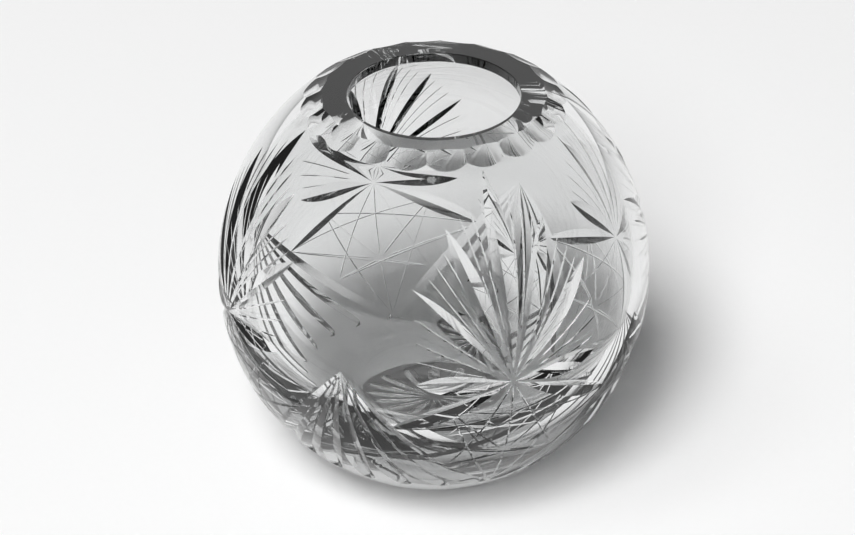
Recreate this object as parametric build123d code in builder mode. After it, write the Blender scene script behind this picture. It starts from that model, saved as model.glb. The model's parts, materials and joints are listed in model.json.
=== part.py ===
from build123d import *
import os
from math import asin, atan2, cos, degrees, hypot, radians, sin, tan

# Rose bowl: one globe of clear glass, blown, then ground flat at the mouth and the base
# and cut on the outside. Sizes in millimetres, angles in degrees.
# The origin is the centre of the base, +Z runs up the bowl's axis, the front faces -Y.

# Globe
belly_radius = 75.0
belly_height = 72.5
rim_height = 141.5
rim_radius = 39.9
mouth_radius = 29.5
lip_height = 3.3
base_radius = 29.0
wall = 6.0
floor_thickness = 25.0

# Thumbprints ground round the outer edge of the rim: shallow dishes, deepest just above the rim
thumbprint_count = 20
thumbprint_turn = 5.7
thumbprint_wheel_radius = 75.0
thumbprint_depth = 1.24
thumbprint_rise = 1.7

# Fans of leaf cuts, each with its centre just below the belly; the back one was cut 3 degrees short
fan_turns = (20.6, 110.6, 197.8, 290.6)
fan_drop = 1.0
leaf_bearings = (-88, -42, -18, 0, 18, 42, 88)
leaf_lengths = (33.0, 48.0, 58.0, 72.0, 58.0, 48.0, 33.0)
leaf_widths = (8.0, 6.5, 7.0, 8.9, 7.0, 6.5, 8.0)
leaf_gap = 7.0

# Mitre cuts that leave each fan centre downwards
mitre_bearings = (-115, 115)
mitre_length = 46.0
mitre_width = 6.0

# Panels of rays that run down from points halfway between the fans
ray_count = 7
ray_head_height = 74.0
ray_foot_height = 17.0
ray_width = 5.6
ray_gap = 7.0
ray_foot_gap = 2.0

# Star under the base
star_count = 16
star_radius = 27.0
star_gap = 4.0
star_width = 4.4

# Cutting wheels: half the angle of the wheel's edge, how far a cut runs on past its ends,
# and how far the wheel stands clear of the glass
wheel_half_angle = 60.0
wheel_overrun = 1.12
wheel_clearance = 0.8

# Arcs of the globe, all upright at the belly
shoulder_height = rim_height - belly_height
shoulder_arc = (shoulder_height**2 + (belly_radius - rim_radius) ** 2) / (2 * (belly_radius - rim_radius))
foot_arc = (belly_height**2 + (belly_radius - base_radius) ** 2) / (2 * (belly_radius - base_radius))
inner_radius = belly_radius - wall
bowl_arc = belly_height - floor_thickness
floor_radius = inner_radius - bowl_arc

fan_height = belly_height - fan_drop


def arc_at(height):
    return shoulder_arc if height >= belly_height else foot_arc


def outer_radius(height):
    arc = arc_at(height)
    return belly_radius - arc + (arc**2 - (height - belly_height) ** 2) ** 0.5


def outer_point(azimuth, height):
    radius = outer_radius(height)
    return Vector(radius * sin(radians(azimuth)), -radius * cos(radians(azimuth)), height)


def depth_below_surface(point):
    arc = arc_at(point.Z)
    return arc - hypot(hypot(point.X, point.Y) - (belly_radius - arc), point.Z - belly_height)


def point_from_fan(azimuth, bearing, distance):
    """Point on the globe at a distance from a fan centre, with the bearing from straight up."""
    dip = asin(distance / 2 / shoulder_arc)
    rise = distance * cos(dip) * cos(radians(bearing))
    across = distance * cos(dip) * sin(radians(bearing))
    inward = distance * sin(dip)
    turn = degrees(atan2(across, outer_radius(fan_height) - inward))
    return outer_point(azimuth + turn, fan_height + rise)


def wheel_cut(start, end, outward, surface_rise, width):
    """V-edged solid that a wheel's edge sweeps from start to end, widest and deepest halfway."""
    depth = width / 2 / tan(radians(wheel_half_angle))
    chord = end - start
    along = chord.normalized()
    out = (outward - along * outward.dot(along)).normalized()
    side = out.cross(along)
    keel_rise = surface_rise - depth
    keel_radius = (chord.length**2 / 4 + keel_rise**2) / (2 * keel_rise)
    centre = (start + end) / 2 + out * (keel_rise - keel_radius)
    half_turn = degrees(asin(chord.length / 2 / abs(keel_radius))) * wheel_overrun
    edge_height = depth + wheel_clearance
    edge_width = edge_height * tan(radians(wheel_half_angle))
    wheel_axis = Axis(centre, side)
    section = Plane(origin=centre, x_dir=side, z_dir=along.rotate(wheel_axis, -half_turn))
    with BuildPart() as cut:
        with BuildSketch(section):
            with BuildLine():
                Polyline(
                    (0, keel_radius),
                    (edge_width, keel_radius + edge_height),
                    (-edge_width, keel_radius + edge_height),
                    close=True,
                )
            make_face()
        revolve(axis=wheel_axis, revolution_arc=2 * half_turn)
    return cut.part


def globe_cut(start, end, width):
    middle = (start + end) / 2
    outward = middle - Vector(0, 0, belly_height)
    return wheel_cut(start, end, outward, depth_below_surface(middle), width)


leaf_cuts = []
for azimuth in fan_turns:
    for bearing, length, width in zip(leaf_bearings, leaf_lengths, leaf_widths):
        inner_end = point_from_fan(azimuth, bearing, leaf_gap)
        tip = point_from_fan(azimuth, bearing, length)
        leaf_cuts.append(globe_cut(inner_end, tip, width))
    for bearing in mitre_bearings:
        inner_end = point_from_fan(azimuth, bearing, leaf_gap)
        tip = point_from_fan(azimuth, bearing, mitre_length)
        leaf_cuts.append(globe_cut(inner_end, tip, mitre_width))

ray_foot_gap_turn = degrees(ray_foot_gap / outer_radius(ray_foot_height))
next_fan_turns = fan_turns[1:] + (fan_turns[0] + 360,)
ray_cuts = []
for first_fan, next_fan in zip(fan_turns, next_fan_turns):
    apex = outer_point((first_fan + next_fan) / 2, ray_head_height)
    first_ray = first_fan + ray_foot_gap_turn / 2
    ray_spacing = (next_fan - first_fan - ray_foot_gap_turn) / (ray_count - 1)
    for ray in range(ray_count):
        foot = outer_point(first_ray + ray * ray_spacing, ray_foot_height)
        run = foot - apex
        near_apex = apex + run * (ray_gap / run.length)
        head = outer_point(degrees(atan2(near_apex.X, -near_apex.Y)), near_apex.Z)
        ray_cuts.append(globe_cut(head, foot, ray_width))

downwards = Vector(0, 0, -1)
star_cuts = []
for ray in range(star_count):
    turn = radians(360 / star_count * ray)
    direction = Vector(cos(turn), sin(turn), 0)
    star_cuts.append(
        wheel_cut(direction * star_gap, direction * star_radius, downwards, 0, star_width)
    )

# The thumbprint wheel stands out from the shoulder's arc, square to it
thumbprint_height = rim_height + thumbprint_rise
shoulder_lean = asin((thumbprint_height - belly_height) / shoulder_arc)
wheel_reach = thumbprint_wheel_radius - thumbprint_depth

with BuildPart() as crystal_bowl:
    with BuildSketch(Plane.XZ):
        with BuildLine():
            Line((0, 0), (base_radius, 0))
            TangentArc((belly_radius, belly_height), (base_radius, 0), tangent=(0, -1))
            TangentArc((belly_radius, belly_height), (rim_radius, rim_height), tangent=(0, 1))
            Polyline(
                (rim_radius, rim_height),
                (mouth_radius, rim_height),
                (mouth_radius, rim_height - lip_height),
            )
            TangentArc(
                (inner_radius, belly_height),
                (mouth_radius, rim_height - lip_height),
                tangent=(0, 1),
            )
            TangentArc((inner_radius, belly_height), (floor_radius, floor_thickness), tangent=(0, -1))
            Polyline((floor_radius, floor_thickness), (0, floor_thickness), (0, 0))
        make_face()
    revolve(axis=Axis.Z)

    with Locations((0, 0, thumbprint_height + wheel_reach * sin(shoulder_lean))):
        with PolarLocations(
            outer_radius(thumbprint_height) + wheel_reach * cos(shoulder_lean),
            thumbprint_count,
            start_angle=thumbprint_turn - 90,
        ):
            Sphere(thumbprint_wheel_radius, mode=Mode.SUBTRACT)

    add(leaf_cuts, mode=Mode.SUBTRACT)
    add(ray_cuts, mode=Mode.SUBTRACT)
    add(star_cuts, mode=Mode.SUBTRACT)

crystal_bowl.part.label = "crystal_bowl"
os.makedirs("parts", exist_ok=True)
export_step(crystal_bowl.part, "parts/crystal_bowl.step")
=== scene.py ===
import json
import math

import bpy
import numpy as np
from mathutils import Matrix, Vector


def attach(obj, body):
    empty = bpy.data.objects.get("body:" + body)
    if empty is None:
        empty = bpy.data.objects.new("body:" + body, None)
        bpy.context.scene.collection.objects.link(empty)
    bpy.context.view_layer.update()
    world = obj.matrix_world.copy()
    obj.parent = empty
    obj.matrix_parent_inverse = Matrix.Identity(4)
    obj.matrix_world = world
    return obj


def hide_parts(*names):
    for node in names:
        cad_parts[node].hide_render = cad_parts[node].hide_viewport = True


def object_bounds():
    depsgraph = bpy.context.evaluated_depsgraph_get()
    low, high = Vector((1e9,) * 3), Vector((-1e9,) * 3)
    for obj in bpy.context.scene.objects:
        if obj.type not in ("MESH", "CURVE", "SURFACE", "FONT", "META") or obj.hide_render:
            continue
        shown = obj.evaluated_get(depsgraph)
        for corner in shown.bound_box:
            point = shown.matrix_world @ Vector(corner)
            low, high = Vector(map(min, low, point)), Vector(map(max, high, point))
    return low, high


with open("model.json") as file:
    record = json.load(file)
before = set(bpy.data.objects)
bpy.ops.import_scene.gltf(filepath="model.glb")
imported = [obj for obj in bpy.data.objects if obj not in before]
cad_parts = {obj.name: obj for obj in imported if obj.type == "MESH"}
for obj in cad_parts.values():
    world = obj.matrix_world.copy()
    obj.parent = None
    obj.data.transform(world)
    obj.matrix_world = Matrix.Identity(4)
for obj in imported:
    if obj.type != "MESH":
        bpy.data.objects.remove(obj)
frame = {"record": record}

mm = 0.001
cadLow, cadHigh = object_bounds()
mounts = {mount["name"]: mount for mount in frame["record"]["mounts"]}
print("frame loaded, box in mm", [round(side / mm, 1) for side in cadHigh - cadLow])


# The globe, in millimetres and degrees
globe = {
    "bellyRadius": 75.0,
    "bellyHeight": 72.5,
    "rimHeight": cadHigh.z / mm,
    "rimRadius": 39.9,
    "mouthRadius": mounts["mouth"]["dims"]["r_mm"],
    "lipHeight": mounts["mouth"]["dims"]["length_mm"],
    "baseRadius": 29.0,
    "wall": 6.0,
    "floorThickness": 25.0,
    "edgePolish": 0.4,
    "aroundSteps": 192,
    "arcSteps": 48,
}

# Leaf fans with the thin lines between their leaves
fan = {
    "turns": (20.6, 110.6, 197.8, 290.6),
    "drop": 1.0,
    "centreLift": 0.01,
    "bearings": (-88, -42, -18, 0, 18, 42, 88),
    "lengths": (33.0, 48.0, 58.0, 72.0, 58.0, 48.0, 33.0),
    "widths": (8.0, 6.5, 7.0, 8.9, 7.0, 6.5, 8.0),
    "mitreBearings": (-115, 115),
    "mitreLength": 46.0,
    "mitreWidth": 7.0,
    "lineShares": (0.33, 0.56, 0.79),
    "lineStart": 0.27,
    "lineShortfall": 3.0,
}

# Panels of rays between the fans
panel = {"rays": 7, "headHeight": 74.0, "footHeight": 17.0, "width": 9.0, "footGap": 2.0}

# Thin-line star in the diamond below each fan: its points as turn from the fan and height
lineStar = {
    "centreHeight": 39.5,
    "points": ((0, 71.0), (16.5, 62.5), (32.2, 53.0), (16.5, 35.0), (0, 18.5),
               (-16.5, 35.0), (-32.2, 53.0), (-16.5, 62.5)),
    "skip": 3,
    "centreGap": 0.04,
}

# Star under the base
baseStar = {"count": 16, "radius": 27.0, "gap": 3.0, "width": 4.4, "inner": 1.0, "outer": 0.35}

# Thumbprints round the rim; polish is how much steeper than the mesh their dishes are shaded
thumbprint = {"count": 20, "turn": 5.7, "wheelRadius": 75.0, "depth": 1.24, "rise": 1.7, "passes": 4,
              "ballDetail": 6, "polish": 0.5}

# Inside of the neck: between these heights the shading turns to this lean, steeper than the mesh
neck = {"from": 131.2, "to": 132.6, "lean": 46.0}

# Cutting wheels: half angles for leaves, rays and mitres, how far the edge stands clear of the glass,
# thin line size, steps along a cut and how far a cut is held off the surface
wheel = {"halfAngle": 60.0, "bluntAngle": 67.0, "mitreAngle": 63.5, "clearance": 0.6, "lineDepth": 0.23,
         "lineClearance": 0.3, "step": 1.2, "leastSteps": 8, "overrun": 0.02, "holdOff": 0.01}

bellyRadius, bellyHeight, rimHeight = globe["bellyRadius"], globe["bellyHeight"], globe["rimHeight"]


def arcRadius(draw, rise):
    return (rise ** 2 + draw ** 2) / (2 * draw)


shoulderArc = arcRadius(bellyRadius - globe["rimRadius"], rimHeight - bellyHeight)
footArc = arcRadius(bellyRadius - globe["baseRadius"], bellyHeight)
innerRadius = bellyRadius - globe["wall"]
lipFoot = rimHeight - globe["lipHeight"]
innerShoulderArc = arcRadius(innerRadius - globe["mouthRadius"], lipFoot - bellyHeight)
innerFootArc = bellyHeight - globe["floorThickness"]
fanHeight = bellyHeight - fan["drop"]


def arcAt(height, upper, lower):
    return upper if height >= bellyHeight else lower


def outerRadius(height):
    arc = arcAt(height, shoulderArc, footArc)
    return bellyRadius - arc + math.sqrt(arc ** 2 - (height - bellyHeight) ** 2)


def outerPoint(azimuth, height):
    radius, turn = outerRadius(height), math.radians(azimuth)
    return Vector((radius * math.sin(turn), -radius * math.cos(turn), height))


def arcCentre(point):
    # centre of the outer arc in the upright plane through the point
    across = Vector((point.x, point.y, 0)).normalized()
    return across * (bellyRadius - arcAt(point.z, shoulderArc, footArc)) + Vector((0, 0, bellyHeight))


def depthBelow(point):
    return arcAt(point.z, shoulderArc, footArc) - (point - arcCentre(point)).length


def outerNormal(point):
    return (point - arcCentre(point)).normalized()


def pointFromFan(azimuth, bearing, distance):
    dip = math.asin(distance / 2 / shoulderArc)
    level = distance * math.cos(dip)
    across = level * math.sin(math.radians(bearing))
    turn = math.degrees(math.atan2(across, outerRadius(fanHeight) - distance * math.sin(dip)))
    return outerPoint(azimuth + turn, fanHeight + level * math.cos(math.radians(bearing)))


# Guide lines for the nodes: the lathe profile and the keel of every cut, in groups that are cut in turn
profileGroup = -1
rayGroups = 3
mitreGroup, leafGroup, hairlineGroup, spokeGroup, chordGroup = range(rayGroups, rayGroups + 5)
guide = {"points": [], "edges": [], "cutGroup": [], "cutRise": [], "outward": []}


def addLine(points, group, rises=None, outwards=None):
    first = len(guide["points"])
    guide["points"] += [point * mm for point in points]
    guide["edges"] += [(first + i, first + i + 1) for i in range(len(points) - 1)]
    guide["cutGroup"] += [group] * len(points)
    guide["cutRise"] += [rise * mm for rise in rises] if rises else [0.0] * len(points)
    guide["outward"] += outwards if outwards else [Vector((1, 0, 0))] * len(points)


def pastEnds(t, slope=6):
    # beyond its ends the wheel lifts out of the glass
    return -slope * max(-t, t - 1, 0)


def leafShape(t, inner=1.5, outer=1.0):
    # share of the full depth along a cut: none at both ends, most past the middle
    peak = inner / (inner + outer)
    full = peak ** inner * (1 - peak) ** outer
    return t ** inner * (1 - t) ** outer / full if 0 < t < 1 else pastEnds(t)


def petalShape(t):
    return leafShape(t, baseStar["inner"], baseStar["outer"])


def pleatShape(t, opening=3, closing=0.25, full=0.75):
    # widens quickly from the head, so that neighbours meet in ridges, and closes at the foot
    return (1 - (1 - t) ** opening) * (1 - t) ** closing / full if 0 < t < 1 else pastEnds(t)


def lineShape(t, taper=0.1):
    return min(1, t / taper, (1 - t) / taper)


def addCut(start, end, group, depth, shape, clearance, facing=None):
    along = (end - start).normalized()
    outward = facing or (start + end) / 2 - Vector((0, 0, bellyHeight))
    outward = (outward - along * outward.dot(along)).normalized()
    steps = max(wheel["leastSteps"], round((end - start).length / wheel["step"]))
    overrun = wheel["overrun"]
    keel, rises, outwards = [], [], []
    for i in range(steps + 1):
        t = -overrun + (1 + 2 * overrun) * i / steps
        point = start.lerp(end, t)
        normal = outward
        if facing is None:
            for _ in range(6):  # settles onto the curved surface
                point = point + outward * depthBelow(point)
            normal = outerNormal(point)
        cut = depth * shape(t) - wheel["holdOff"]
        keel.append(point - normal * cut)
        rises.append(cut + clearance)
        outwards.append(normal)
    addLine(keel, group, rises, outwards)


def arcPoints(arc, middleRadius, fromHeight, toHeight):
    first, last = (math.asin((h - bellyHeight) / arc) for h in (fromHeight, toHeight))
    steps = globe["arcSteps"]
    turns = (first + (last - first) * i / steps for i in range(steps + 1))
    return [(middleRadius - arc + arc * math.cos(a), bellyHeight + arc * math.sin(a)) for a in turns]


def latheProfile():
    polish, mouth = globe["edgePolish"], globe["mouthRadius"]
    corner = [(mouth + polish * (1 - math.sin(a)), rimHeight - polish * (1 - math.cos(a)))
              for a in (math.radians(15 * i) for i in range(7))]
    outline = [(0, 0)]
    outline += arcPoints(footArc, bellyRadius, 0, bellyHeight)[:-1]
    outline += arcPoints(shoulderArc, bellyRadius, bellyHeight, rimHeight)
    outline += corner
    outline += arcPoints(innerShoulderArc, innerRadius, lipFoot, bellyHeight)[:-1]
    outline += arcPoints(innerFootArc, innerRadius, bellyHeight, globe["floorThickness"])
    outline += [(0, globe["floorThickness"])]
    return [Vector((radius, 0, height)) for radius, height in outline]


def depthOf(width, wheelAngle="halfAngle"):
    return width / 2 / math.tan(math.radians(wheel[wheelAngle]))


def addFanCuts(azimuth):
    bearings, lengths = fan["bearings"], fan["lengths"]
    centre = pointFromFan(azimuth, 0, fan["centreLift"])
    for bearing, length, width in zip(bearings, lengths, fan["widths"]):
        tip = pointFromFan(azimuth, bearing, length)
        addCut(centre, tip, leafGroup, depthOf(width), leafShape, wheel["clearance"])
    for bearing in fan["mitreBearings"]:
        tip = pointFromFan(azimuth, bearing, fan["mitreLength"])
        addCut(centre, tip, mitreGroup, depthOf(fan["mitreWidth"], "mitreAngle"), leafShape,
               wheel["clearance"])
    for i in range(len(bearings) - 1):
        for share in fan["lineShares"]:
            bearing = bearings[i] + (bearings[i + 1] - bearings[i]) * share
            length = lengths[i] + (lengths[i + 1] - lengths[i]) * share - fan["lineShortfall"]
            inner = pointFromFan(azimuth, bearing, length * fan["lineStart"])
            outer = pointFromFan(azimuth, bearing, length)
            addCut(inner, outer, hairlineGroup, wheel["lineDepth"], lineShape, wheel["lineClearance"])


def addPanelCuts(firstFan, nextFan):
    # neighbouring rays run into each other near the head, so they take turns in the ray groups
    gapTurn = math.degrees(panel["footGap"] / outerRadius(panel["footHeight"]))
    spacing = (nextFan - firstFan - gapTurn) / (panel["rays"] - 1)
    apex = outerPoint((firstFan + nextFan) / 2, panel["headHeight"])
    depth = depthOf(panel["width"], "bluntAngle")
    for ray in range(panel["rays"]):
        foot = outerPoint(firstFan + gapTurn / 2 + ray * spacing, panel["footHeight"])
        addCut(apex, foot, ray % rayGroups, depth, pleatShape, wheel["clearance"])


def addLineStar(azimuth):
    centre = outerPoint(azimuth, lineStar["centreHeight"])
    points = [outerPoint(azimuth + turn, height) for turn, height in lineStar["points"]]
    count = len(points)
    for point in points:
        addCut(centre.lerp(point, lineStar["centreGap"]), point, spokeGroup, wheel["lineDepth"], lineShape,
               wheel["lineClearance"])
    for i in range(count):
        across = points[(i + lineStar["skip"]) % count]
        addCut(points[i], across, chordGroup + i % (count // 2), wheel["lineDepth"], lineShape,
               wheel["lineClearance"])


def addBaseStar():
    for ray in range(baseStar["count"]):
        turn = 2 * math.pi * ray / baseStar["count"]
        direction = Vector((math.cos(turn), math.sin(turn), 0))
        inner, outer = direction * baseStar["gap"], direction * baseStar["radius"]
        addCut(inner, outer, leafGroup, depthOf(baseStar["width"]), petalShape, wheel["clearance"],
               Vector((0, 0, -1)))


addLine(latheProfile(), profileGroup)
for fanTurn, nextTurn in zip(fan["turns"], fan["turns"][1:] + (fan["turns"][0] + 360,)):
    addFanCuts(fanTurn)
    addPanelCuts(fanTurn, nextTurn)
    addLineStar(fanTurn)
addBaseStar()
cutGroups = max(guide["cutGroup"]) + 1
print("guide lines", len(guide["points"]), "points in", cutGroups, "groups of cuts")


def addNode(tree, kind, links=None, **settings):
    made = tree.nodes.new(kind)
    for name, value in settings.items():
        setattr(made, name, value)
    for key, value in (links or {}).items():
        if isinstance(value, bpy.types.NodeSocket):
            tree.links.new(value, made.inputs[key])
        else:
            made.inputs[key].default_value = value
    return made


def newTree(name, inputs):
    tree = bpy.data.node_groups.new(name, "GeometryNodeTree")
    for label, kind in inputs:
        tree.interface.new_socket(label, in_out="INPUT", socket_type="NodeSocket" + kind)
    tree.interface.new_socket("Geometry", in_out="OUTPUT", socket_type="NodeSocketGeometry")
    return tree, tree.nodes.new("NodeGroupInput").outputs


def spunCopiesTree():
    # copies of the geometry turned about the bowl's axis
    tree, given = newTree("spunCopies", (("Geometry", "Geometry"), ("Count", "Int"), ("Start Turn", "Float")))
    one = addNode(tree, "GeometryNodeGeometryToInstance", {0: given["Geometry"]})
    copies = addNode(tree, "GeometryNodeDuplicateElements", {0: one.outputs[0], "Amount": given["Count"]},
                     domain="INSTANCE")
    share = addNode(tree, "ShaderNodeMath", {0: copies.outputs["Duplicate Index"], 1: given["Count"]},
                    operation="DIVIDE")
    turn = addNode(tree, "ShaderNodeMath", {0: share.outputs[0], 1: 2 * math.pi, 2: given["Start Turn"]},
                   operation="MULTIPLY_ADD")
    spin = addNode(tree, "FunctionNodeAxisAngleToRotation", {"Axis": (0, 0, 1), "Angle": turn.outputs[0]})
    turned = addNode(tree, "GeometryNodeRotateInstances",
                     {0: copies.outputs[0], "Rotation": spin.outputs[0], "Local Space": False})
    real = addNode(tree, "GeometryNodeRealizeInstances", {0: turned.outputs[0]})
    addNode(tree, "NodeGroupOutput", {0: real.outputs[0]})
    return tree


def cutBowlTree():
    tree, given = newTree("cutBowl", (
        ("Geometry", "Geometry"), ("Belly Radius", "Float"), ("Around Steps", "Int"),
        ("Cut Groups", "Int"), ("Blunt Groups", "Int"), ("Mitre Group", "Int"),
        ("Wheel Half Angle", "Float"), ("Blunt Half Angle", "Float"), ("Mitre Half Angle", "Float"),
        ("Thumbprint Count", "Int"), ("Thumbprint Passes", "Int"), ("Thumbprint Turn", "Float"),
        ("Thumbprint Wheel Radius", "Float"), ("Thumbprint Wheel Place", "Vector"), ("Glass", "Material")))
    spunCopies = spunCopiesTree()

    def linesOf(group):
        number = addNode(tree, "GeometryNodeInputNamedAttribute", {"Name": "cutGroup"}, data_type="INT")
        same = addNode(tree, "FunctionNodeCompare", {2: number.outputs[0], 3: group}, data_type="INT",
                       operation="EQUAL")
        kept = addNode(tree, "GeometryNodeSeparateGeometry", {0: given["Geometry"], 1: same.outputs[0]},
                       domain="POINT")
        return addNode(tree, "GeometryNodeMeshToCurve", {0: kept.outputs["Selection"]}).outputs[0]

    def spun(geometry, count, startTurn):
        copies = addNode(tree, "GeometryNodeGroup", node_tree=spunCopies)
        for key, value in (("Geometry", geometry), ("Count", count), ("Start Turn", startTurn)):
            if isinstance(value, bpy.types.NodeSocket):
                tree.links.new(value, copies.inputs[key])
            else:
                copies.inputs[key].default_value = value
        return copies.outputs[0]

    # lathe: the profile lies flat, its x running out from the circle and its y down
    inward = addNode(tree, "ShaderNodeMath", {0: given["Belly Radius"], 1: -1}, operation="MULTIPLY")
    shift = addNode(tree, "ShaderNodeCombineXYZ", {"X": inward.outputs[0]})
    flat = addNode(tree, "GeometryNodeTransform", {0: linesOf(profileGroup), "Translation": shift.outputs[0],
                                                   "Rotation": (math.pi / 2, 0, 0)})
    circle = addNode(tree, "GeometryNodeCurvePrimitiveCircle",
                     {"Resolution": given["Around Steps"], "Radius": given["Belly Radius"]})
    level = addNode(tree, "GeometryNodeSetCurveNormal", {0: circle.outputs[0]}, mode="Z_UP")
    lathe = addNode(tree, "GeometryNodeCurveToMesh", {0: level.outputs[0], "Profile Curve": flat.outputs[0]})
    outside = addNode(tree, "GeometryNodeFlipFaces", {0: lathe.outputs[0]})
    blank = addNode(tree, "GeometryNodeMergeByDistance", {0: outside.outputs[0], "Distance": 1e-6})

    # one pass for each group of cuts, which don't cross each other inside the glass
    passIn = tree.nodes.new("GeometryNodeRepeatInput")
    passOut = tree.nodes.new("GeometryNodeRepeatOutput")
    passIn.pair_with_output(passOut)
    tree.links.new(given["Cut Groups"], passIn.inputs["Iterations"])
    tree.links.new(blank.outputs[0], passIn.inputs["Geometry"])

    # wheel edge: a triangle of height 1 that the keel's rise scales, blunter for rays and mitres
    blunt = addNode(tree, "FunctionNodeCompare", {2: passIn.outputs["Iteration"], 3: given["Blunt Groups"]},
                    data_type="INT", operation="LESS_THAN")
    mitre = addNode(tree, "FunctionNodeCompare", {2: passIn.outputs["Iteration"], 3: given["Mitre Group"]},
                    data_type="INT", operation="EQUAL")
    keen = addNode(tree, "GeometryNodeSwitch", {0: mitre.outputs[0], 1: given["Wheel Half Angle"],
                                                2: given["Mitre Half Angle"]}, input_type="FLOAT")
    angle = addNode(tree, "GeometryNodeSwitch", {0: blunt.outputs[0], 1: keen.outputs[0],
                                                 2: given["Blunt Half Angle"]}, input_type="FLOAT")
    slope = addNode(tree, "ShaderNodeMath", {0: angle.outputs[0]}, operation="TANGENT")
    back = addNode(tree, "ShaderNodeMath", {0: slope.outputs[0], 1: -1}, operation="MULTIPLY")
    left = addNode(tree, "ShaderNodeCombineXYZ", {"X": 1, "Y": slope.outputs[0]})
    right = addNode(tree, "ShaderNodeCombineXYZ", {"X": 1, "Y": back.outputs[0]})
    edge = addNode(tree, "GeometryNodeCurvePrimitiveQuadrilateral",
                   {"Point 1": (0, 0, 0), "Point 2": left.outputs[0], "Point 3": (1, 0, 0),
                    "Point 4": right.outputs[0]}, mode="POINTS")
    outward = addNode(tree, "GeometryNodeInputNamedAttribute", {"Name": "outward"}, data_type="FLOAT_VECTOR")
    rise = addNode(tree, "GeometryNodeInputNamedAttribute", {"Name": "cutRise"}, data_type="FLOAT")
    keel = addNode(tree, "GeometryNodeSetCurveNormal",
                   {0: linesOf(passIn.outputs["Iteration"]), "Normal": outward.outputs[0]}, mode="FREE")
    swept = addNode(tree, "GeometryNodeCurveToMesh", {0: keel.outputs[0], "Profile Curve": edge.outputs[0],
                                                      "Scale": rise.outputs[0], "Fill Caps": True})
    cutters = addNode(tree, "GeometryNodeFlipFaces", {0: swept.outputs[0]})
    cut = addNode(tree, "GeometryNodeMeshBoolean", {0: passIn.outputs["Geometry"], 1: cutters.outputs[0]},
                  operation="DIFFERENCE", solver="MANIFOLD")
    tree.links.new(cut.outputs[0], passOut.inputs["Geometry"])

    # thumbprints, a few in each pass, because neighbours overlap
    printIn = tree.nodes.new("GeometryNodeRepeatInput")
    printOut = tree.nodes.new("GeometryNodeRepeatOutput")
    printIn.pair_with_output(printOut)
    tree.links.new(given["Thumbprint Passes"], printIn.inputs["Iterations"])
    tree.links.new(passOut.outputs["Geometry"], printIn.inputs["Geometry"])
    ball = addNode(tree, "GeometryNodeMeshIcoSphere", {"Radius": given["Thumbprint Wheel Radius"],
                                                       "Subdivisions": thumbprint["ballDetail"]})
    placed = addNode(tree, "GeometryNodeTransform",
                     {0: ball.outputs[0], "Translation": given["Thumbprint Wheel Place"]})
    perPass = addNode(tree, "ShaderNodeMath", {0: given["Thumbprint Count"], 1: given["Thumbprint Passes"]},
                      operation="DIVIDE")
    spacing = addNode(tree, "ShaderNodeMath", {0: 2 * math.pi, 1: given["Thumbprint Count"]},
                      operation="DIVIDE")
    start = addNode(tree, "ShaderNodeMath", {0: printIn.outputs["Iteration"], 1: spacing.outputs[0],
                                             2: given["Thumbprint Turn"]}, operation="MULTIPLY_ADD")
    dished = addNode(tree, "GeometryNodeMeshBoolean",
                     {0: printIn.outputs["Geometry"],
                      1: spun(placed.outputs[0], perPass.outputs[0], start.outputs[0])},
                     operation="DIFFERENCE", solver="MANIFOLD")
    tree.links.new(dished.outputs[0], printOut.inputs["Geometry"])

    real = addNode(tree, "GeometryNodeRealizeInstances", {0: printOut.outputs["Geometry"]})
    glass = addNode(tree, "GeometryNodeSetMaterial", {0: real.outputs[0], "Material": given["Glass"]})
    addNode(tree, "NodeGroupOutput", {0: glass.outputs[0]})
    return tree


def thumbprintPlace():
    # wheel centre for a print that faces -Y, out along the shoulder's normal
    height = rimHeight + thumbprint["rise"]
    lean = math.asin((height - bellyHeight) / shoulderArc)
    reach = thumbprint["wheelRadius"] - thumbprint["depth"]
    return Vector((0, -outerRadius(height) - reach * math.cos(lean), height + reach * math.sin(lean)))


crystal = {
    "ior": 1.545,
    "colour": (0.985, 0.99, 0.99, 1),
    "depthColour": (0.2, 0.21, 0.21, 1),
    "depthDensity": 8.0,
    "waveScale": 18.0,
    "waveDepth": 0.00002,
    "roughness": 0.0,
}


def crystalMaterial():
    made = bpy.data.materials.new("clearCrystal")
    made.use_nodes = True
    tree = made.node_tree
    shader = tree.nodes["Principled BSDF"]
    shader.inputs["Base Color"].default_value = crystal["colour"]
    shader.inputs["Transmission Weight"].default_value = 1
    shader.inputs["IOR"].default_value = crystal["ior"]
    shader.inputs["Roughness"].default_value = crystal["roughness"]
    place = addNode(tree, "ShaderNodeTexCoord")
    wave = addNode(tree, "ShaderNodeTexNoise", {"Vector": place.outputs["Object"],
                                                "Scale": crystal["waveScale"], "Detail": 1.0})
    bump = addNode(tree, "ShaderNodeBump", {"Height": wave.outputs["Fac"], "Strength": 1.0,
                                            "Distance": crystal["waveDepth"]})
    tree.links.new(bump.outputs[0], shader.inputs["Normal"])
    depth = addNode(tree, "ShaderNodeVolumeAbsorption", {"Color": crystal["depthColour"],
                                                         "Density": crystal["depthDensity"]})
    tree.links.new(depth.outputs[0], tree.nodes["Material Output"].inputs["Volume"])
    return made


def makeGuideObject():
    mesh = bpy.data.meshes.new("bowlGuide")
    mesh.from_pydata(guide["points"], guide["edges"], [])
    for name, kind, field in (("cutGroup", "INT", "value"), ("cutRise", "FLOAT", "value"),
                              ("outward", "FLOAT_VECTOR", "vector")):
        values = np.array(guide[name]).ravel()
        mesh.attributes.new(name, kind, "POINT").data.foreach_set(field, values)
    made = bpy.data.objects.new("bowlGuide", mesh)
    bpy.context.scene.collection.objects.link(made)
    return made


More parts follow.
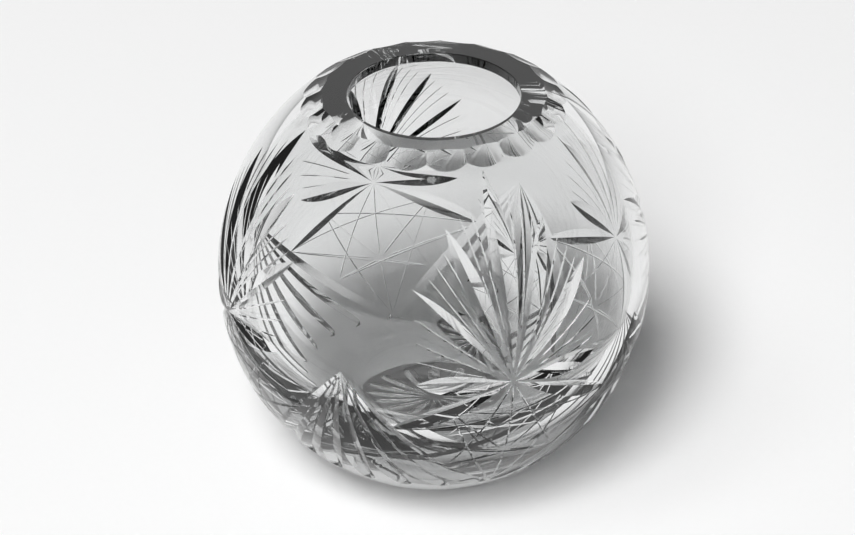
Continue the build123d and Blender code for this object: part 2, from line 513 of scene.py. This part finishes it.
def makeBowl():
    source = makeGuideObject()
    tree = cutBowlTree()
    modifier = source.modifiers.new("cutBowl", "NODES")
    modifier.node_group = tree
    sizes = {
        "Belly Radius": bellyRadius * mm, "Around Steps": globe["aroundSteps"], "Cut Groups": cutGroups,
        "Blunt Groups": rayGroups, "Mitre Group": mitreGroup,
        "Wheel Half Angle": math.radians(wheel["halfAngle"]),
        "Blunt Half Angle": math.radians(wheel["bluntAngle"]),
        "Mitre Half Angle": math.radians(wheel["mitreAngle"]),
        "Thumbprint Count": thumbprint["count"], "Thumbprint Passes": thumbprint["passes"],
        "Thumbprint Turn": math.radians(thumbprint["turn"]),
        "Thumbprint Wheel Radius": thumbprint["wheelRadius"] * mm,
        "Thumbprint Wheel Place": thumbprintPlace() * mm, "Glass": crystalMaterial(),
    }
    for socket in tree.interface.items_tree:
        if socket.name in sizes:
            modifier[socket.identifier] = sizes[socket.name]
    evaluated = source.evaluated_get(bpy.context.evaluated_depsgraph_get())
    mesh = bpy.data.meshes.new_from_object(evaluated)
    source.modifiers.remove(modifier)
    bpy.data.objects.remove(source)
    mesh.name = "crystalBowl"
    for name in ("cutGroup", "cutRise", "outward"):
        mesh.attributes.remove(mesh.attributes[name])
    made = bpy.data.objects.new("crystalBowl", mesh)
    bpy.context.scene.collection.objects.link(made)
    return made


bowl = makeBowl()
print("bowl cut,", sum(len(face.vertices) - 2 for face in bowl.data.polygons), "triangles")


def unit(vectors):
    return vectors / np.maximum(np.linalg.norm(vectors, axis=1, keepdims=True), 1e-12)


def polishNormals(mesh, tolerance=0.03, nearAngle=14.0):
    # true normals of the turned surfaces, with the prints and the neck shaded steeper than the mesh,
    # and smooth flanks with sharp keels elsewhere
    count = len(mesh.vertices)
    co = np.empty(count * 3, np.float32)
    mesh.vertices.foreach_get("co", co)
    co = co.reshape(-1, 3).astype(float) / mm
    loops = np.empty(len(mesh.loops), np.int32)
    mesh.loops.foreach_get("vertex_index", loops)
    starts = np.empty(len(mesh.polygons), np.int32)
    mesh.polygons.foreach_get("loop_start", starts)
    faceNormals = np.empty(len(mesh.polygons) * 3, np.float32)
    mesh.polygons.foreach_get("normal", faceNormals)
    faceNormals = faceNormals.reshape(-1, 3).astype(float)
    sizes = np.diff(np.append(starts, len(loops)))
    faceOf = np.repeat(np.arange(len(starts)), sizes)

    mesh.polygons.foreach_set("use_smooth", np.ones(len(starts), bool))
    mesh.set_sharp_from_angle(angle=math.radians(nearAngle))
    normals = np.empty(len(loops) * 3, np.float32)
    mesh.corner_normals.foreach_get("vector", normals)
    normals = normals.reshape(-1, 3).astype(float)

    radial = np.hypot(co[:, 0], co[:, 1])
    across = np.stack([co[:, 0], co[:, 1], np.zeros(count)], 1) / np.maximum(radial, 1e-9)[:, None]
    upper = co[:, 2] >= bellyHeight

    def turned(radius, upperArc, lowerArc, sign):
        arc = np.where(upper, upperArc, lowerArc)
        spoke = across * (radial - (radius - arc))[:, None]
        spoke[:, 2] = co[:, 2] - bellyHeight
        off = np.abs(np.linalg.norm(spoke, axis=1) - arc)
        return unit(spoke) * sign, off, unit(spoke) * sign

    surfaces = [turned(bellyRadius, shoulderArc, footArc, 1),
                turned(innerRadius, innerShoulderArc, innerFootArc, -1)]
    share = np.clip((co[:, 2] - neck["from"]) / (neck["to"] - neck["from"]), 0, 1)[:, None]
    steep = -across * math.cos(math.radians(neck["lean"])) - (0, 0, math.sin(math.radians(neck["lean"])))
    surfaces[1] = surfaces[1][:2] + (unit(surfaces[1][2] * (1 - share) + steep * share),)
    place = thumbprintPlace()
    for i in range(thumbprint["count"]):
        turn = math.radians(thumbprint["turn"] + 360 / thumbprint["count"] * i)
        centre = np.array((-place.y * math.sin(turn), place.y * math.cos(turn), place.z))
        spoke = centre - co
        polished = unit(spoke) + thumbprint["polish"] * (unit(spoke) - surfaces[0][0])
        off = np.abs(np.linalg.norm(spoke, axis=1) - thumbprint["wheelRadius"])
        surfaces.append((unit(spoke), off, unit(polished)))
    for height, sign in ((0, -1), (globe["floorThickness"], 1), (rimHeight, 1)):
        flat = np.tile((0.0, 0.0, float(sign)), (count, 1))
        surfaces.append((flat, np.abs(co[:, 2] - height), flat))
    surfaces.append((-across, np.abs(radial - globe["mouthRadius"]), -across))

    nearCos = math.cos(math.radians(nearAngle))
    for direction, off, polished in surfaces:
        onSurface = np.minimum.reduceat((off[loops] < tolerance).astype(int), starts).astype(bool)
        facing = (direction[loops] * faceNormals[faceOf]).sum(1) > nearCos
        aligned = np.minimum.reduceat(facing.astype(int), starts).astype(bool)
        chosen = (onSurface & aligned)[faceOf]
        normals[chosen] = polished[loops][chosen]
    mesh.normals_split_custom_set(unit(normals).tolist())


polishNormals(bowl.data)
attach(bowl, "root")
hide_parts("crystal_bowl")
print("bowl polished and riding")


# Floor, light and camera
studio = {
    "floorSize": 12.0,
    "floorColour": (0.9, 0.9, 0.9, 1),
    "floorRoughness": 0.9,
    "grainScale": 400.0,
    "grainTone": 0.985,
    "fill": 0.06,
    "backdrop": 0.95,
    "cameraSide": 0.3,
    "wallSpan": (0.1, 0.75),
    "ceiling": 0.24,
    "ceilingSpan": (0.4, 0.8),
    "softbox": 0.4,
    "softboxSpan": (0.93, 0.97),
}

camera = {
    "distance": 1.3125,
    "elevation": 31.5,
    "focalPixels": 3770.0,
    "frameWidth": 855,
    "frameHeight": 535,
    "bellyPixel": (433.8, 267.9),
    "sensor": 36.0,
}


def floorMaterial():
    made = bpy.data.materials.new("palePaper")
    made.use_nodes = True
    tree = made.node_tree
    shader = tree.nodes["Principled BSDF"]
    shader.inputs["Roughness"].default_value = studio["floorRoughness"]
    place = addNode(tree, "ShaderNodeTexCoord")
    grain = addNode(tree, "ShaderNodeTexNoise", {"Vector": place.outputs["Object"],
                                                 "Scale": studio["grainScale"]})
    pale = studio["floorColour"]
    grainColour = tuple(c * studio["grainTone"] for c in pale[:3]) + (1,)
    tone = addNode(tree, "ShaderNodeMix", {0: grain.outputs["Fac"], 6: pale, 7: grainColour},
                   data_type="RGBA")
    tree.links.new(tone.outputs[2], shader.inputs["Base Color"])
    return made


def makeFloor():
    half = studio["floorSize"] / 2
    mesh = bpy.data.meshes.new("floor")
    corners = [(-half, -half, 0), (half, -half, 0), (half, half, 0), (-half, half, 0)]
    mesh.from_pydata(corners, [], [(0, 1, 2, 3)])
    mesh.materials.append(floorMaterial())
    made = bpy.data.objects.new("floor", mesh)
    bpy.context.scene.collection.objects.link(made)
    return made


lamps = {
    "key": {"place": (-1.72, -4.25, 6.55), "size": 3.0, "power": 444.0},
    "side": {"place": (-3.77, -2.18, 6.71), "size": 3.0, "power": 92.0},
    "front": {"place": (-1.31, -6.17, 4.93), "size": 3.0, "power": 333.0},
}


def makeWorld():
    world = bpy.data.worlds.new("studio")
    bpy.context.scene.world = world
    world.use_nodes = True
    tree = world.node_tree
    fill = tree.nodes["Background"]
    fill.inputs["Color"].default_value = (1, 1, 1, 1)
    fill.inputs["Strength"].default_value = studio["fill"]
    # what the glass shows: a backdrop that falls off towards the camera, a dim ceiling and one soft box
    place = addNode(tree, "ShaderNodeTexCoord")
    axes = addNode(tree, "ShaderNodeSeparateXYZ", {0: place.outputs["Generated"]})

    def ramp(value, span, low, high):
        made = addNode(tree, "ShaderNodeMapRange", {"Value": value, "From Min": span[0], "From Max": span[1],
                                                    "To Min": low, "To Max": high})
        return made.outputs[0]

    wall = ramp(axes.outputs["Y"], studio["wallSpan"], studio["cameraSide"], studio["backdrop"])
    height = ramp(axes.outputs["Z"], studio["ceilingSpan"], 0, 1)
    room = addNode(tree, "ShaderNodeMix", {0: height, 2: wall, 3: studio["ceiling"]})
    keyward = Vector(lamps["key"]["place"]).normalized()
    towards = addNode(tree, "ShaderNodeVectorMath", {0: place.outputs["Generated"], 1: keyward},
                      operation="DOT_PRODUCT")
    glow = ramp(towards.outputs["Value"], studio["softboxSpan"], 0, studio["softbox"])
    tone = addNode(tree, "ShaderNodeMath", {0: room.outputs[0], 1: glow}, operation="MAXIMUM")
    white = addNode(tree, "ShaderNodeMath", {0: tone.outputs[0]}, operation="MAXIMUM")
    seen = addNode(tree, "ShaderNodeBackground", {"Color": (1, 1, 1, 1), "Strength": white.outputs[0]})
    ray = addNode(tree, "ShaderNodeLightPath")
    tree.links.new(ray.outputs["Is Camera Ray"], white.inputs[1])
    mirrored = addNode(tree, "ShaderNodeMath", {0: ray.outputs["Is Camera Ray"],
                                                1: ray.outputs["Is Glossy Ray"]}, operation="MAXIMUM")
    straight = addNode(tree, "ShaderNodeMath", {0: mirrored.outputs[0],
                                                1: ray.outputs["Is Transmission Ray"]}, operation="MAXIMUM")
    # none of it lights the floor, which keeps its shadow
    shows = addNode(tree, "ShaderNodeMath", {0: straight.outputs[0], 1: ray.outputs["Diffuse Depth"]},
                    operation="SUBTRACT", use_clamp=True)
    both = addNode(tree, "ShaderNodeMixShader", {0: shows.outputs[0], 1: fill.outputs[0], 2: seen.outputs[0]})
    tree.links.new(both.outputs[0], tree.nodes["World Output"].inputs["Surface"])


def makeLamp(name, settings):
    light = bpy.data.lights.new(name, "AREA")
    light.shape = "DISK"
    light.size = settings["size"]
    light.energy = settings["power"]
    light.cycles.use_multiple_importance_sampling = False  # no caustics, and no lamp seen in the glass
    made = bpy.data.objects.new(name, light)
    made.location = settings["place"]
    target = Vector((0, 0, bellyHeight * mm))
    made.rotation_euler = (target - made.location).to_track_quat("-Z", "Y").to_euler()
    bpy.context.scene.collection.objects.link(made)


def makeCamera():
    data = bpy.data.cameras.new("camera")
    data.sensor_width = camera["sensor"]
    data.lens = camera["focalPixels"] * camera["sensor"] / camera["frameWidth"]
    width, height = camera["frameWidth"], camera["frameHeight"]
    data.shift_x = (width / 2 - camera["bellyPixel"][0]) / width
    data.shift_y = (camera["bellyPixel"][1] - height / 2) / width
    made = bpy.data.objects.new("camera", data)
    tilt = math.radians(camera["elevation"])
    back = Vector((0, -math.cos(tilt), math.sin(tilt)))
    made.location = Vector((0, 0, bellyHeight * mm)) + back * camera["distance"]
    made.rotation_euler = (-back).to_track_quat("-Z", "Y").to_euler()
    bpy.context.scene.collection.objects.link(made)
    bpy.context.scene.camera = made


makeFloor()
makeWorld()
for lampName, lampSettings in lamps.items():
    makeLamp(lampName, lampSettings)
makeCamera()
bpy.context.scene.view_settings.view_transform = "Standard"
print("floor, light and camera set")
